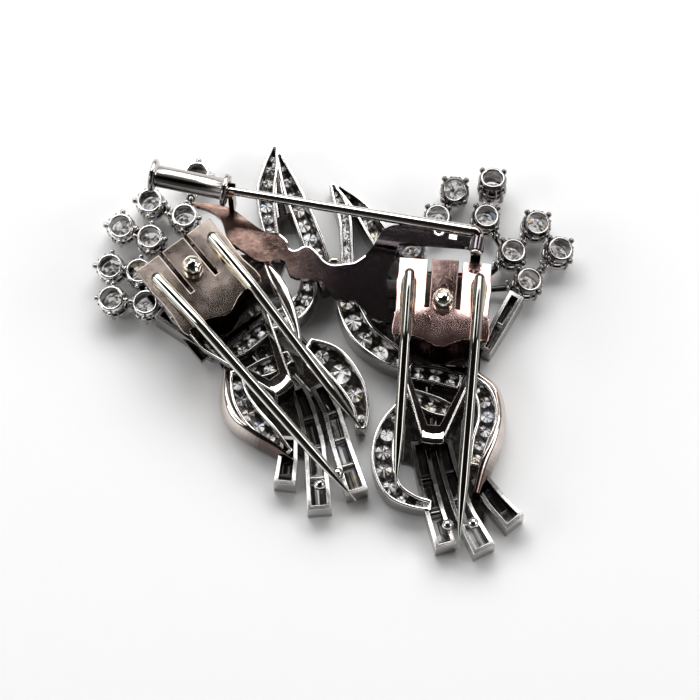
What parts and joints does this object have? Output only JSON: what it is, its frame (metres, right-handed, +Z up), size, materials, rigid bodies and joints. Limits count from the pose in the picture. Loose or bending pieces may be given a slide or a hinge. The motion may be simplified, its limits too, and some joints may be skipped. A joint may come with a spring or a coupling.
{
  "type": "double clip brooch",
  "caption": "Two diamond spray clips joined by a frame with a brooch pin and safety catch, lying face down with its spring flaps and prongs up.",
  "frame": {"origin": "centre of the brooch's outline on the surface that its front rests on", "axes": "+Z up out of the back of the brooch, +X from the left clip to the right clip, +Y from the stems to the brooch pin"},
  "size_m": [0.0642, 0.0577, 0.0144],
  "materials": {
    "setting_metal": "polished rhodium-bright white metal",
    "flap_metal": "polished sheet with a faint rose cast",
    "rivet_metal": "bright hammered ball",
    "wire_metal": "drawn and polished wire",
    "frame_metal": "worn rose-brown plate with fine scratches, bright at the arm",
    "catch_metal": "turned and polished tube",
    "round_stone": "faceted round diamond",
    "pave_stone": "small faceted round diamond",
    "baguette_stone": "step-cut baguette diamond"
  },
  "bodies": {
    "brooch": {"left_mount": "setting_metal", "right_mount": "setting_metal", "left_pave": "pave_stone", "right_pave": "pave_stone", "left_baguettes": "baguette_stone", "right_baguettes": "baguette_stone", "left_axle": "wire_metal", "right_axle": "wire_metal", "left_post": "wire_metal", "right_post": "wire_metal", "brooch_frame": "frame_metal", "left_stone_1": "round_stone", "left_stone_2": "round_stone", "left_stone_3": "round_stone", "left_stone_4": "round_stone", "left_stone_5": "round_stone", "left_stone_6": "round_stone", "left_stone_7": "round_stone", "left_stone_8": "round_stone", "left_stone_9": "round_stone", "right_stone_1": "round_stone", "right_stone_2": "round_stone", "right_stone_3": "round_stone", "right_stone_4": "round_stone", "right_stone_5": "round_stone", "right_stone_6": "round_stone", "right_stone_7": "round_stone", "right_stone_8": "round_stone", "right_stone_9": "round_stone"},
    "left_clip": {"left_flap": "flap_metal", "left_rivet": "rivet_metal"},
    "right_clip": {"right_flap": "flap_metal", "right_rivet": "rivet_metal"},
    "pin": {"brooch_pin": "wire_metal"},
    "catch": {"catch_slide": "catch_metal"}
  },
  "joints": [
    {"name": "left_flap_hinge", "type": "hinge", "parent": "brooch", "child": "left_clip", "pos_m": [-0.01636, 0.00583, 0.008], "axis": [-0.7826, -0.6225, 0], "range_deg": [0, 25], "stiffness_Nm_per_rad": 0.01},
    {"name": "right_flap_hinge", "type": "hinge", "parent": "brooch", "child": "right_clip", "pos_m": [0.01422, 0.00211, 0.008], "axis": [-0.9969, 0.0785, 0], "range_deg": [0, 25], "stiffness_Nm_per_rad": 0.01},
    {"name": "pin_hinge", "type": "hinge", "parent": "brooch", "child": "pin", "pos_m": [0.01919, 0.01254, 0.01232], "axis": [0.178, 0.984, 0], "range_deg": [0, 80]},
    {"name": "catch_slide", "type": "slide", "parent": "brooch", "child": "catch", "axis": [-0.9772, 0.2122, 0], "range_m": [0, 0.005]}
  ]
}
